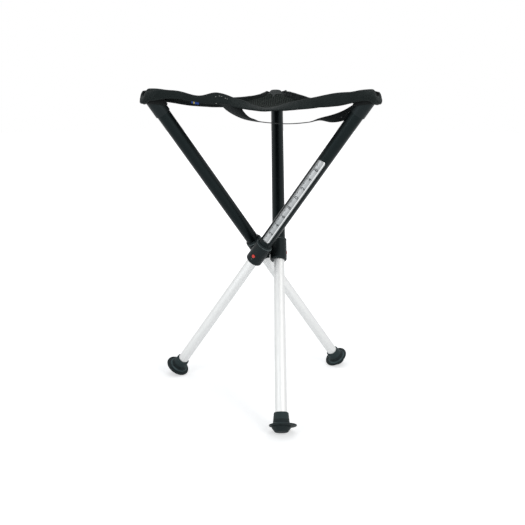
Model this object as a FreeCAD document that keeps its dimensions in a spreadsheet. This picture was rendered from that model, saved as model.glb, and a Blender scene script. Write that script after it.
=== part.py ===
import FreeCAD, Part
import Sketcher
import math
import os

# A three-legged telescopic stool. The legs cross at a small hub and lean one way round it, so
# that each one hinges about a screw that points at the middle. Origin: on the floor under the
# hub. Front of the stool: -Y. Leg C has its foot at the front, leg A its foot at the left and
# leg B its foot at the right.

Vector = FreeCAD.Vector
Rotation = FreeCAD.Rotation
Placement = FreeCAD.Placement

doc = FreeCAD.newDocument("TelescopicStool")
sheet = doc.addObject("Spreadsheet::Sheet", "Sizes")


class Size:
    """A length that keeps its value and the sheet expression that it comes from."""

    def __init__(self, value, text):
        self.value = value
        self.text = text

    def __float__(self):
        return float(self.value)

    def combined(self, other, sign, value):
        right = other.text if isinstance(other, Size) else repr(float(other))
        return Size(value, f"({self.text} {sign} {right})")

    def __add__(self, other):
        return self.combined(other, "+", self.value + float(other))

    def __sub__(self, other):
        return self.combined(other, "-", self.value - float(other))

    def __mul__(self, other):
        return self.combined(other, "*", self.value * float(other))

    def __truediv__(self, other):
        return self.combined(other, "/", self.value / float(other))

    def __neg__(self):
        return Size(-self.value, f"(-1 * {self.text})")


def size(alias, number, note):
    """Write one driving dimension into the sheet."""
    size.row += 1
    sheet.set(f"A{size.row}", alias)
    sheet.set(f"B{size.row}", str(number))
    sheet.setAlias(f"B{size.row}", alias)
    sheet.set(f"C{size.row}", note)
    return Size(number, f"Sizes.{alias}")


size.row = 0

# Whole stool
leg_angle = size("leg_angle", 36.3, "degrees that an open leg leans from upright")
foot_reach = size("foot_reach", 313, "hinge to foot flange, along the leg")
leg_reach = size("leg_reach", 340, "hinge to top of leg cap, along the leg")
foot_height = size("foot_height", 14.5, "middle of foot flange above the floor")
fit_gap = size("fit_gap", 0.05, "radial clearance of a running fit")
rub_gap = size("rub_gap", 0.1, "clearance between faces that slide on each other")
cloth_gap = size("cloth_gap", 0.3, "clearance between cloth and hard pieces")

# Tubes
outer_od = size("outer_od", 23.5, "outer tube, outside diameter")
outer_wall = size("outer_wall", 1.2, "outer tube, wall")
inner_od = size("inner_od", 19.5, "inner tube, outside diameter")
inner_wall = size("inner_wall", 1.2, "inner tube, wall")
cap_inset = size("cap_inset", 3.0, "top of outer tube below top of leg cap")
bush_length = size("bush_length", 36, "guide bush on top of the inner tube")

# Collar
collar_wall = size("collar_wall", 3.25, "outer tube to the outside of the collar")
collar_shift = size("collar_shift", 1.0, "collar's middle nearer the hub than the leg's axis")
collar_up = size("collar_up", 20, "hinge to top of collar")
collar_down = size("collar_down", 20, "hinge to bottom of collar")
collar_round = size("collar_round", 3.0, "rounding of collar's lower edge")
collar_bevel = size("collar_bevel", 1.2, "bevel of collar's upper edge")
boss_rim = size("boss_rim", 1.0, "collar's boss outside the thrust washer")
tube_seat = size("tube_seat", 8, "hinge to lower end of outer tube")

# Hub and hinge
hub_gap = size("hub_gap", 8.5, "hub axis to the near side of each collar")
spider_face = size("spider_face", 7.7, "hub axis to the spider's flat faces")
spider_round = size("spider_round", 11.5, "radius of the spider's corners")
spider_height = size("spider_height", 24, "height of the spider")
screw_od = size("screw_od", 5, "shank of the pivot screw")
screw_head = size("screw_head", 10, "diameter of the screw's head")
screw_head_height = size("screw_head_height", 2.0, "height of the screw's head")
screw_tip = size("screw_tip", 2.0, "hub axis to the end of each screw")
head_gap = size("head_gap", 0.5, "inner tube to the screw's head")
socket_across = size("socket_across", 3, "hexagon socket in the screw's head, across flats")
washer_od = size("washer_od", 14, "thrust washer")
washer_height = size("washer_height", 0.6, "thickness of the thrust washer")

# Latch
button_drop = size("button_drop", 4.5, "latch below the hinge")
button_od = size("button_od", 6, "red release button")
button_proud = size("button_proud", 0.6, "button stands out of the collar")
button_rim = size("button_rim", 7.6, "rim that keeps the button in the collar")
button_rim_height = size("button_rim_height", 0.8, "thickness of that rim")
latch_od = size("latch_od", 4.6, "latch pin")
latch_gap = size("latch_gap", 0.2, "latch pin to the button's rim")
leaf_gap = size("leaf_gap", 1.0, "inner tube's bore to the latch spring")
leaf_width = size("leaf_width", 7, "width of the latch spring's leaf")
leaf_thick = size("leaf_thick", 0.5, "thickness of that leaf")
leaf_up = size("leaf_up", 8, "leaf above the latch pin")
leaf_down = size("leaf_down", 22, "leaf below the latch pin")

# Foot
flange_od = size("flange_od", 46, "flange of the rubber foot")
flange_shift = size("flange_shift", 2.5, "flange's middle outside the leg's axis")
flange_thick = size("flange_thick", 2.6, "thickness of the flange")
flange_round = size("flange_round", 1.0, "rounding of the flange's rim")
neck_od = size("neck_od", 24.5, "top of the foot's neck")
neck_base = size("neck_base", 28, "bottom of the foot's neck")
neck_height = size("neck_height", 21, "neck above the middle of the flange")
neck_bevel = size("neck_bevel", 1.0, "bevel of the neck's top")
bead_od = size("bead_od", 35, "raised ring on top of the flange")
bead_height = size("bead_height", 2.6, "height of that ring above the flange's middle")
bead_bevel = size("bead_bevel", 1.0, "bevel of that ring")
sole_od = size("sole_od", 32, "sole, at the flange")
sole_end = size("sole_end", 22.5, "sole, at its end")
sole_depth = size("sole_depth", 11.2, "sole below the middle of the flange")
sole_side = size("sole_side", 4.0, "upright side of the sole below the flange's middle")
sole_bevel = size("sole_bevel", 1.4, "bevel of the sole's end")
foot_floor = size("foot_floor", 3, "inner tube's end above the middle of the flange")

# Leg top
cap_wall = size("cap_wall", 1.4, "outer tube to the outside of the plastic cap")
cap_length = size("cap_length", 35, "length of that cap")
cap_round = size("cap_round", 4, "rounding of the cap's top")
pocket_depth = size("pocket_depth", 26, "cloth pocket down the leg from its top")
pocket_cloth = size("pocket_cloth", 2.0, "thickness of the cloth pocket")

# Label
label_start = size("label_start", 23, "hinge to lower end of label")
label_length = size("label_length", 183, "label along the tube")
label_width = size("label_width", 15, "label round the tube")
label_thick = size("label_thick", 0.2, "thickness of the label")

# Seat
hem_thick = size("hem_thick", 4, "thickness of the seat's hem")
hem_rise = size("hem_rise", 6.2, "seat's corners above the top of the leg's axis")
hem_bow = size("hem_bow", 9, "hem's middle nearer the hub than a straight edge")
panel_sag = size("panel_sag", 20, "middle of the mesh panel lower than its corners")
panel_thick = size("panel_thick", 2.0, "thickness of the mesh panel")
panel_top = size("panel_top", 5.0, "panel's corners below the seat's corners")
strap_width = size("strap_width", 38, "carrying strap")
strap_thick = size("strap_thick", 1.6, "thickness of the strap")
strap_start = size("strap_start", 0.38, "share of the front hem from leg B to the strap")
strap_end = size("strap_end", 0.86, "share of the front hem to the strap's other end")
strap_drop = size("strap_drop", 51, "strap's lowest point below the seat's corners")
strap_twist = size("strap_twist", 0.33, "share of the strap in which each end turns over")
tag_place = size("tag_place", 0.235, "share of the front hem from leg B to the tag")
tag_width = size("tag_width", 14, "sewn tag under the front hem")
tag_drop = size("tag_drop", 5, "tag below the hem")
tag_thick = size("tag_thick", 0.8, "thickness of the tag")

doc.recompute()

# Sizes that follow from the driving ones
collar_od = outer_od + collar_wall * 2
cap_od = outer_od + cap_wall * 2
hub_radius = collar_od / 2 + collar_shift + hub_gap

nodes = {}


def degrees_cos(angle):
    return math.cos(math.radians(float(angle)))


def degrees_sin(angle):
    return math.sin(math.radians(float(angle)))


hub_height = float(foot_reach) * degrees_cos(leg_angle) + float(foot_height)

# A leg has its own frame: x points away from the hub's axis, z points up along the leg and the
# hinge lies at the origin.
LEGS = {"a": 240, "b": 120, "c": 0}


def leg_frame(letter):
    """Where a leg's own frame lies in the stool."""
    turn = Rotation(Vector(0, 0, 1), LEGS[letter])
    lean = Rotation(Vector(1, 0, 0), -float(leg_angle))
    place = turn.multVec(Vector(float(hub_radius), 0, hub_height))
    return Placement(place, turn.multiply(lean))


def along(letter, reach, out=0.0):
    """A point on a leg's axis, or out from it, in the stool's frame."""
    return leg_frame(letter).multVec(Vector(float(out), 0, float(reach)))


def node(name, feature, place=None):
    """Give a finished sub-part its name and its place."""
    feature.Label = name
    if place is not None:
        feature.Placement = place
    nodes[name] = feature
    return feature


def new_body(name):
    return doc.addObject("PartDesign::Body", name)


def plane_of(body, role):
    return [item for item in body.Origin.OriginFeatures if item.Role == role][0]


def sketch_on(body, name, role, offset=0.0):
    """A sketch on one of the body's own origin planes, moved along the plane's normal."""
    sketch = body.newObject("Sketcher::SketchObject", name)
    sketch.AttachmentSupport = [(plane_of(body, role), "")]
    sketch.MapMode = "FlatFace"
    sketch.AttachmentOffset = Placement(Vector(0, 0, float(offset)), Rotation())
    if isinstance(offset, Size):
        sketch.setExpression("AttachmentOffset.Base.z", offset.text)
    return sketch


def held(sketch, kind, edge, point, length):
    """Hold a point's distance from the sketch's origin to a size."""
    at = sketch.addConstraint(Sketcher.Constraint(kind, -1, 1, edge, point, float(length)))
    if isinstance(length, Size):
        sketch.setExpression(f"Constraints[{at}]", length.text)


def outline(sketch, corners):
    """Straight lines round the corners, each held by its distances from the axes."""
    spots = [Vector(float(across), float(up), 0) for across, up in corners]
    for here, following in zip(spots, spots[1:] + spots[:1]):
        sketch.addGeometry(Part.LineSegment(here, following), False)
    for edge in range(len(corners)):
        following = (edge + 1) % len(corners)
        sketch.addConstraint(Sketcher.Constraint("Coincident", edge, 2, following, 1))
    for edge, (across, up) in enumerate(corners):
        held(sketch, "DistanceX", edge, 1, across)
        held(sketch, "DistanceY", edge, 1, up)


def circle_on(sketch, radius, across=0.0, up=0.0):
    middle = Vector(float(across), float(up), 0)
    edge = sketch.addGeometry(Part.Circle(middle, Vector(0, 0, 1), float(radius)), False)
    at = sketch.addConstraint(Sketcher.Constraint("Radius", edge, float(radius)))
    sketch.setExpression(f"Constraints[{at}]", radius.text)
    held(sketch, "DistanceX", edge, 3, across)
    held(sketch, "DistanceY", edge, 3, up)


def turned(name, corners):
    """A body of revolution about its own z axis."""
    body = new_body(name)
    sketch = sketch_on(body, name + "Outline", "XZ_Plane")
    outline(sketch, corners)
    turn = body.newObject("PartDesign::Revolution", name + "Turned")
    turn.Profile = sketch
    turn.ReferenceAxis = (sketch, ["V_Axis"])
    turn.Angle = 360
    doc.recompute()
    return body


def sized(feature, prop, length):
    """Set a length and bind it to the sheet."""
    setattr(feature, prop, float(length))
    if isinstance(length, Size):
        feature.setExpression(prop, length.text)


def padded(body, name, sketch, length):
    pad = body.newObject("PartDesign::Pad", name)
    pad.Profile = sketch
    sized(pad, "Length", length)
    doc.recompute()
    return pad


def pocketed(body, name, sketch, length, backwards=False):
    """A pocket that has to take something away."""
    before = body.Shape.Volume
    pocket = body.newObject("PartDesign::Pocket", name)
    pocket.Profile = sketch
    pocket.Reversed = backwards
    sized(pocket, "Length", length)
    doc.recompute()
    if body.Shape.Volume > before - 0.01:
        raise ValueError(f"{name} takes nothing away")
    return pocket


def ring_edges(shape, height, radius=None):
    """Names of the shape's circular edges at a height, of a radius if one is given."""
    found = []
    for number, edge in enumerate(shape.Edges, 1):
        if not isinstance(edge.Curve, Part.Circle) or abs(edge.Curve.Center.z - height) > 0.01:
            continue
        if radius is None or abs(edge.Curve.Radius - float(radius)) < 0.01:
            found.append(f"Edge{number}")
    return found


def rounded(body, name, kind, height, radius, length):
    """A fillet or a chamfer on the circular edges of one radius at one height."""
    base = body.Tip
    feature = body.newObject(kind, name)
    feature.Base = (base, ring_edges(base.Shape, float(height), radius))
    sized(feature, "Radius" if kind.endswith("Fillet") else "Size", length)
    doc.recompute()
    return feature


def cylinder(name, radius, height, place):
    solid = doc.addObject("Part::Cylinder", name)
    sized(solid, "Radius", radius)
    sized(solid, "Height", height)
    solid.Placement = place
    return solid


def box(name, length, width, height, place):
    solid = doc.addObject("Part::Box", name)
    sized(solid, "Length", length)
    sized(solid, "Width", width)
    sized(solid, "Height", height)
    solid.Placement = place
    return solid


def joined(name, pieces):
    fuse = doc.addObject("Part::MultiFuse", name)
    fuse.Shapes = pieces
    fuse.Refine = True
    return fuse


def taken(name, base, tool):
    cut = doc.addObject("Part::Cut", name)
    cut.Base = base
    cut.Tool = tool
    return cut


def shaped(name, shape):
    """A sub-part whose shape comes straight from geometry."""
    feature = doc.addObject("Part::Feature", name)
    feature.Shape = shape
    return feature


# Tubes. The outer one stands on a ledge in the collar, the inner one slides in it.
outer_top = leg_reach - cap_inset
outer_bore = outer_od / 2 - outer_wall
inner_top = tube_seat + rub_gap + bush_length
inner_bottom = foot_floor - foot_reach


def outer_tube(letter):
    body = turned("OuterTube" + letter, [
        (outer_bore, tube_seat),
        (outer_od / 2, tube_seat),
        (outer_od / 2, outer_top),
        (outer_bore, outer_top),
    ])
    return node(f"outer_tube_{letter}", body, leg_frame(letter))


def inner_tube(letter):
    """The pale lower tube, with the latch hole on its outer side."""
    bore = inner_od / 2 - inner_wall
    body = turned("InnerTube" + letter, [
        (bore, inner_bottom),
        (inner_od / 2, inner_bottom),
        (inner_od / 2, inner_top),
        (bore, inner_top),
    ])
    sketch = sketch_on(body, "LatchHole" + letter, "YZ_Plane")
    circle_on(sketch, latch_od / 2 + rub_gap, 0.0, -button_drop)
    pocketed(body, "LatchPocket" + letter, sketch, inner_od, True)
    return node(f"inner_tube_{letter}", body, leg_frame(letter))


def guide_bush(letter):
    """The sleeve that keeps the inner tube in line and stops it at the collar's ledge."""
    body = turned("GuideBush" + letter, [
        (inner_od / 2, tube_seat + rub_gap),
        (outer_bore - rub_gap, tube_seat + rub_gap),
        (outer_bore - rub_gap, inner_top),
        (inner_od / 2, inner_top),
    ])
    return node(f"guide_bush_{letter}", body, leg_frame(letter))


def top_cap(letter):
    """The plastic cap on the outer tube, closed at the top."""
    inside = outer_od / 2 + fit_gap
    bottom = leg_reach - cap_length
    body = turned("TopCap" + letter, [
        (inside, bottom),
        (cap_od / 2, bottom),
        (cap_od / 2, leg_reach),
        (0.0, leg_reach),
        (0.0, outer_top + fit_gap),
        (inside, outer_top + fit_gap),
    ])
    rounded(body, "CapRound" + letter, "PartDesign::Fillet", leg_reach, cap_od / 2, cap_round)
    return node(f"top_cap_{letter}", body, leg_frame(letter))


# Collar. It carries the outer tube, guides the inner one and turns on the pivot screw.
boss_face = hub_radius - spider_face - washer_height - rub_gap
head_face = inner_od / 2 + head_gap
head_back = head_face + screw_head_height + rub_gap
button_face = collar_od / 2 - collar_shift
button_ledge = button_face - button_rim_height - rub_gap


def collar(letter):
    body = new_body("Collar" + letter)
    middle = -collar_shift
    sketch = sketch_on(body, "CollarRound" + letter, "XY_Plane", -collar_down)
    circle_on(sketch, collar_od / 2, middle)
    padded(body, "CollarPad" + letter, sketch, collar_down + collar_up)
    rounded(body, "LowerRound" + letter, "PartDesign::Fillet", -collar_down, None, collar_round)
    rounded(body, "UpperBevel" + letter, "PartDesign::Chamfer", collar_up, None, collar_bevel)

    sketch = sketch_on(body, "BossRound" + letter, "YZ_Plane", -boss_face)
    circle_on(sketch, washer_od / 2 + boss_rim)
    padded(body, "Boss" + letter, sketch, boss_face - inner_od / 2)

    sketch = sketch_on(body, "GuideBore" + letter, "XY_Plane", -collar_down)
    circle_on(sketch, inner_od / 2 + rub_gap)
    pocketed(body, "GuidePocket" + letter, sketch, collar_down + collar_up, True)
    sketch = sketch_on(body, "TubeBore" + letter, "XY_Plane", tube_seat)
    circle_on(sketch, outer_od / 2 + fit_gap)
    pocketed(body, "TubePocket" + letter, sketch, collar_up, True)

    sketch = sketch_on(body, "PivotHole" + letter, "YZ_Plane")
    circle_on(sketch, screw_od / 2 + fit_gap)
    pocketed(body, "PivotPocket" + letter, sketch, hub_radius)
    sketch = sketch_on(body, "HeadRecess" + letter, "YZ_Plane")
    circle_on(sketch, screw_head / 2 + rub_gap)
    pocketed(body, "HeadPocket" + letter, sketch, head_back)

    sketch = sketch_on(body, "ButtonHole" + letter, "YZ_Plane")
    circle_on(sketch, button_od / 2 + fit_gap, 0.0, -button_drop)
    pocketed(body, "ButtonPocket" + letter, sketch, hub_radius, True)
    sketch = sketch_on(body, "RimRecess" + letter, "YZ_Plane")
    circle_on(sketch, button_rim / 2 + fit_gap, 0.0, -button_drop)
    pocketed(body, "RimPocket" + letter, sketch, button_ledge, True)
    return node(f"collar_{letter}", body, leg_frame(letter))


# Hub: a three-sided spider, with a screw and a thrust washer towards each collar.
def crosswise(letter, out, drop=0.0):
    """A leg's frame with z turned to point away from the hub's axis."""
    local = Placement(Vector(float(out), 0, -float(drop)), Rotation(Vector(0, 1, 0), 90))
    return leg_frame(letter).multiply(local)


def hub_spider():
    body = new_body("HubSpider")
    sketch = sketch_on(body, "SpiderRound", "XY_Plane", -spider_height / 2)
    circle_on(sketch, spider_round)
    padded(body, "SpiderPad", sketch, spider_height)
    side = spider_round * 2
    for letter, angle in LEGS.items():
        # Each side face is square to its screw: a pocket takes off what lies outside it.
        turn = Rotation(Vector(0, 0, 1), angle)
        sketch = body.newObject("Sketcher::SketchObject", "SpiderSide" + letter)
        sketch.AttachmentSupport = [(plane_of(body, "XY_Plane"), "")]
        sketch.MapMode = "FlatFace"
        sketch.AttachmentOffset = Placement(Vector(0, 0, float(spider_height) / 2), turn)
        sketch.setExpression("AttachmentOffset.Base.z", (spider_height / 2).text)
        outline(sketch, [
            (spider_face, -side),
            (side, -side),
            (side, side),
            (spider_face, side),
        ])
        pocketed(body, "SpiderFlat" + letter, sketch, spider_height)
    holes = []
    for letter in LEGS:
        start = -hub_radius + screw_tip
        place = Placement(Vector(0, 0, -hub_height), Rotation()).multiply(crosswise(letter, start))
        holes.append(cylinder("ScrewHole" + letter, screw_od / 2, spider_face, place))
    spider = taken("Spider", body, joined("ScrewHoles", holes))
    node("hub_spider", spider, Placement(Vector(0, 0, hub_height), Rotation()))


def pivot_screws():
    screws = []
    for letter in LEGS:
        tip = screw_tip - hub_radius
        shank = cylinder("Shank" + letter, screw_od / 2,
                         hub_radius - screw_tip - head_face - screw_head_height / 2,
                         crosswise(letter, tip))
        head = cylinder("Head" + letter, screw_head / 2, screw_head_height,
                        crosswise(letter, -(head_face + screw_head_height)))
        socket = doc.addObject("Part::Prism", "Socket" + letter)
        socket.Polygon = 6
        sized(socket, "Circumradius", socket_across / math.sqrt(3))
        sized(socket, "Height", screw_head_height)
        socket.Placement = crosswise(letter, -(head_face + screw_head_height / 2))
        screws.append(taken("Screw" + letter, joined("ScrewBlank" + letter, [shank, head]), socket))
    group = doc.addObject("Part::Compound", "PivotScrews")
    group.Links = screws
    node("pivot_screws", group)


def thrust_washers():
    washers = []
    for letter in LEGS:
        place = crosswise(letter, spider_face - hub_radius)
        plate = cylinder("Washer" + letter, washer_od / 2, washer_height, place)
        hole = cylinder("WasherHole" + letter, screw_od / 2 + fit_gap, washer_height, place)
        washers.append(taken("WasherRing" + letter, plate, hole))
    group = doc.addObject("Part::Compound", "ThrustWashers")
    group.Links = washers
    node("thrust_washers", group)


# Latch. A leaf spring in the inner tube holds a pin out through the tube's wall and into the
# collar. The button pushes the pin back in.
pin_end = button_ledge - button_rim_height - latch_gap
leaf_out = inner_od / 2 - inner_wall - leaf_gap


def latch_spring(letter):
    bend = leaf_out - leaf_thick
    low = -(button_drop + leaf_down)
    half = leaf_width / 2
    leaves = []
    for side, start in (("Out", bend), ("In", -leaf_out)):
        place = Placement(Vector(float(start), -float(half), float(low)), Rotation())
        leaves.append(box(f"Leaf{side}{letter}", leaf_thick, leaf_width, leaf_down + leaf_up, place))
    lying = Rotation(Vector(1, 0, 0), 90)
    spot = Placement(Vector(0, float(half), float(low)), lying)
    bow = taken("Bow" + letter,
                cylinder("BowOut" + letter, leaf_out, leaf_width, spot),
                cylinder("BowIn" + letter, bend, leaf_width, spot))
    corner = Vector(-float(leaf_out), -float(half), float(low))
    upper = box("BowUpper" + letter, leaf_out * 2, leaf_width, leaf_out, Placement(corner, Rotation()))
    across = Placement(Vector(float(bend), 0, -float(button_drop)), Rotation(Vector(0, 1, 0), 90))
    pin = cylinder("LatchPin" + letter, latch_od / 2, pin_end - bend, across)
    spring = joined("LatchSpring" + letter, leaves + [taken("BowLower" + letter, bow, upper), pin])
    return node(f"latch_spring_{letter}", spring, leg_frame(letter))


def release_button(letter):
    rim_start = button_ledge - button_rim_height
    across = Rotation(Vector(0, 1, 0), 90)
    low = -float(button_drop)
    rim = cylinder("ButtonRim" + letter, button_rim / 2, button_rim_height,
                   Placement(Vector(float(rim_start), 0, low), across))
    knob = cylinder("ButtonKnob" + letter, button_od / 2, button_face + button_proud - rim_start,
                    Placement(Vector(float(rim_start), 0, low), across))
    button = joined("ReleaseButton" + letter, [rim, knob])
    return node(f"release_button_{letter}", button, leg_frame(letter))


def foot(letter):
    """The rubber foot: a neck over the tube, an offset flange and a round sole."""
    middle = -foot_reach
    half = flange_thick / 2
    body = turned("Foot" + letter, [
        (0.0, middle - sole_depth),
        (sole_end / 2 - sole_bevel, middle - sole_depth),
        (sole_end / 2, middle - sole_depth + sole_bevel / 2),
        (sole_od / 2, middle - sole_side),
        (sole_od / 2, middle),
        (bead_od / 2, middle),
        (bead_od / 2, middle + bead_height - bead_bevel),
        (bead_od / 2 - bead_bevel, middle + bead_height),
        (neck_base / 2 + bead_bevel, middle + bead_height),
        (neck_base / 2, middle + bead_height + bead_bevel),
        (neck_od / 2, middle + neck_height - neck_bevel),
        (neck_od / 2 - neck_bevel, middle + neck_height),
        (inner_od / 2 + fit_gap, middle + neck_height),
        (inner_od / 2 + fit_gap, inner_bottom),
        (0.0, inner_bottom),
    ])
    sketch = sketch_on(body, "FlangeRound" + letter, "XY_Plane", middle - half)
    circle_on(sketch, flange_od / 2, flange_shift)
    padded(body, "Flange" + letter, sketch, flange_thick)
    for side, level in (("Lower", middle - half), ("Upper", middle + half)):
        rounded(body, f"Rim{side}{letter}", "PartDesign::Fillet", level, flange_od / 2, flange_round)
    body.Placement = leg_frame(letter)
    spread = float(foot_reach) + float(flange_od)
    ground = box("Ground" + letter, spread * 2, spread * 2, flange_od,
                 Placement(Vector(-spread, -spread, -float(flange_od)), Rotation()))
    return node(f"foot_{letter}", taken("StandingFoot" + letter, body, ground))


# Seat. Cloth pockets slip over the caps, three hems run between them and carry the mesh.
pocket_bore = cap_od / 2 + cloth_gap
pocket_out = pocket_bore + pocket_cloth
pocket_end = leg_reach + cloth_gap


def seat_pocket(letter):
    bottom = leg_reach - pocket_depth
    top = pocket_end + pocket_cloth
    body = turned("SeatPocket" + letter, [
        (pocket_bore, bottom),
        (pocket_out, bottom),
        (pocket_out, top),
        (0.0, top),
        (0.0, pocket_end),
        (pocket_bore, pocket_end),
    ])
    rounded(body, "PocketRound" + letter, "PartDesign::Fillet", top, pocket_out, cap_round)
    return node(f"seat_pocket_{letter}", body, leg_frame(letter))


def pocket_space(letter, gap):
    """What the cloth beside a pocket keeps clear of."""
    radius = float(pocket_out) + float(gap)
    below = float(pocket_depth) + float(cap_length)
    solid = Part.makeCylinder(radius, below + float(pocket_end), Vector(0, 0, leg_reach.value - below))
    solid.Placement = leg_frame(letter)
    return solid


corner_top = hub_height + float(leg_reach) * degrees_cos(leg_angle) + float(hem_rise)
UP = Vector(0, 0, 1)

# A hem from one corner to the next: the share of the way along, how far its lower edge hangs
# below the seat's corners, its width and the degrees that it rolls in.
FRONT_HEM = [
    (0.00, 11.0, 13.0, 0.0),
    (0.12, 11.0, 13.0, 0.0),
    (0.22, 18.0, 12.0, 4.0),
    (0.30, 20.0, 19.0, 6.0),
    (0.38, 24.5, 19.0, 36.0),
    (0.50, 30.5, 19.0, 62.0),
    (0.62, 29.5, 19.0, 52.0),
    (0.74, 26.0, 19.0, 28.0),
    (0.86, 20.0, 19.0, 6.0),
    (1.00, 13.0, 16.0, 0.0),
]
SIDE_HEM = [
    (0.00, 13.0, 15.0, 0.0),
    (0.25, 24.0, 17.0, 8.0),
    (0.50, 28.0, 18.0, 14.0),
    (0.75, 24.0, 17.0, 8.0),
    (1.00, 13.0, 15.0, 0.0),
]


def slope(rows, at, column):
    """How steeply a table's column goes past one of its rows."""
    low, high = rows[max(at - 1, 0)], rows[min(at + 1, len(rows) - 1)]
    return (high[column] - low[column]) / (high[0] - low[0])


def between(rows, share, column):
    """A table's column at any share, on a smooth curve through its rows."""
    at = max(row for row in range(len(rows) - 1) if rows[row][0] <= share)
    low, high = rows[at], rows[at + 1]
    gap = high[0] - low[0]
    part = (share - low[0]) / gap
    eased = part * part * (3 - 2 * part)
    bend_low = gap * slope(rows, at, column) * part * (1 - part) ** 2
    bend_high = gap * slope(rows, at + 1, column) * part * part * (1 - part)
    return low[column] + (high[column] - low[column]) * eased + bend_low - bend_high


class Hem:
    """A flat band that hangs between two corners and rolls in on its way."""

    def __init__(self, first, last, rows):
        self.ends = (first, last)
        self.start, self.end = [along(letter, leg_reach) for letter in self.ends]
        self.heading = (self.end - self.start).normalize()
        self.inward = UP.cross(self.heading).normalize()
        self.rows = rows

    def lower_edge(self, share):
        spot = self.start + (self.end - self.start) * share
        spot += self.inward * (float(hem_bow) * 4 * share * (1 - share))
        spot.z = corner_top - between(self.rows, share, 1)
        return spot

    def upward(self, share):
        """The way that the band goes from its lower edge to its upper one."""
        roll = between(self.rows, share, 3)
        return UP * degrees_cos(roll) + self.inward * degrees_sin(roll)

    def upper_edge(self, share):
        return self.lower_edge(share) + self.upward(share) * between(self.rows, share, 2)

    def section(self, share):
        low, high = self.lower_edge(share), self.upper_edge(share)
        half = self.upward(share).cross(self.heading).normalize() * (float(hem_thick) / 2)
        return Part.makePolygon([low + half, low - half, high - half, high + half, low + half])

    def underside(self, share, width, thick):
        """The spot just below the band for a cloth of that width and thickness."""
        spot = self.lower_edge(share)
        reach = width / 2 / (self.end - self.start).Length
        for near in (share - reach, share - reach / 2, share, share + reach / 2, share + reach):
            tilt = thick / 2 * math.tan(math.radians(between(self.rows, near, 3)))
            spot.z = min(spot.z, self.lower_edge(near).z - tilt - float(cloth_gap))
        return spot

    def solid(self):
        stations = 16
        band = Part.makeLoft([self.section(step / stations) for step in range(stations + 1)], True, True)
        for letter in self.ends:
            band = band.cut(pocket_space(letter, cloth_gap))
        return max(band.Solids, key=lambda piece: piece.Volume)


def seat_hem(name, hem):
    band = hem.solid()
    node(name, shaped(name.title().replace("_", ""), band))
    return band


def seat_panel(hems, bands):
    """The mesh: a slightly hollow sheet between the hems, cut from a thin ball."""
    reach = math.hypot(hems[0].start.x, hems[0].start.y)
    sag = float(panel_sag)
    ball = (reach * reach + sag * sag) / (2 * sag)
    low = corner_top - float(panel_top) - sag
    middle = Vector(0, 0, low + ball)
    shell = Part.makeSphere(ball, middle).cut(Part.makeSphere(ball - float(panel_thick), middle))
    edges = []
    for hem in hems:
        flat = [Vector(spot.x, spot.y, low - sag) for spot in (hem.start, hem.upper_edge(0.5), hem.end)]
        edges.append(Part.Arc(*flat).toShape())
    prism = Part.Face(Part.Wire(edges)).extrude(UP * (sag * 3))
    mesh = shell.common(prism)
    for band in bands:
        mesh = mesh.cut(band)
    for letter in LEGS:
        mesh = mesh.cut(pocket_space(letter, cloth_gap))
    whole = max(mesh.Solids, key=lambda piece: piece.Volume)
    node("seat_panel", shaped("SeatPanel", whole))


class Strap:
    """Webbing that hangs under the front hem: face on at both ends, lying flat between."""

    def __init__(self, hem):
        self.start, self.end = [
            hem.underside(float(share), float(strap_width), float(strap_thick))
            for share in (strap_start, strap_end)
        ]
        self.hem = hem

    def spot(self, share):
        spot = self.start + (self.end - self.start) * share
        low = corner_top - float(strap_drop)
        spot.z = low + (spot.z - low) * (1 - 2 * share) ** 4
        return spot

    def section(self, share):
        """The webbing's cut, square to the way that it runs."""
        near = min(share, 1 - share)
        turn = 90 * max(0.0, 1 - near / float(strap_twist)) ** 2
        facing = self.hem.heading * (degrees_sin(turn) * (1 if share < 0.5 else -1))
        across = self.hem.inward * degrees_cos(turn) + facing
        ahead = self.spot(min(share + 0.01, 1)) - self.spot(max(share - 0.01, 0))
        ahead.normalize()
        if 0 < share < 1:
            across -= ahead * across.dot(ahead)
        across.normalize()
        half = across * (float(strap_width) / 2)
        face = ahead.cross(across).normalize() * (float(strap_thick) / 2)
        spot = self.spot(share)
        corners = [spot - half - face, spot + half - face, spot + half + face, spot - half + face]
        return Part.makePolygon(corners + corners[:1])

    def solid(self):
        stations = 14
        webbing = Part.makeLoft([self.section(step / stations) for step in range(stations + 1)], True)
        webbing = webbing.cut(pocket_space(self.hem.ends[1], cloth_gap))
        return max(webbing.Solids, key=lambda piece: piece.Volume)


def sewn_tag(hem):
    """A small woven tag under the front hem."""
    share = float(tag_place)
    spot = hem.underside(share, float(tag_width), float(tag_thick)) - UP * float(tag_drop)
    length, width = float(tag_width), float(tag_thick)
    plate = Part.makeBox(length, width, float(tag_drop), Vector(-length / 2, -width / 2, 0))
    angle = math.degrees(math.atan2(hem.heading.y, hem.heading.x))
    node("sewn_tag", shaped("SewnTag", plate), Placement(spot, Rotation(UP, angle)))


def tube_label():
    """A thin label round the outer side of leg A's upper tube."""
    radius = float(outer_od) / 2
    thick = float(label_thick)
    span = math.degrees(float(label_width) / radius)
    height = float(label_length)
    start = Vector(0, 0, float(label_start))
    upright = Vector(0, 0, 1)
    outer = Part.makeCylinder(radius + thick, height, start, upright, span)
    label = outer.cut(Part.makeCylinder(radius, height, start))
    turn = Placement(Vector(), Rotation(upright, -span / 2))
    feature = shaped("TubeLabel", label)
    node("tube_label", feature, leg_frame("a").multiply(turn))


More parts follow.
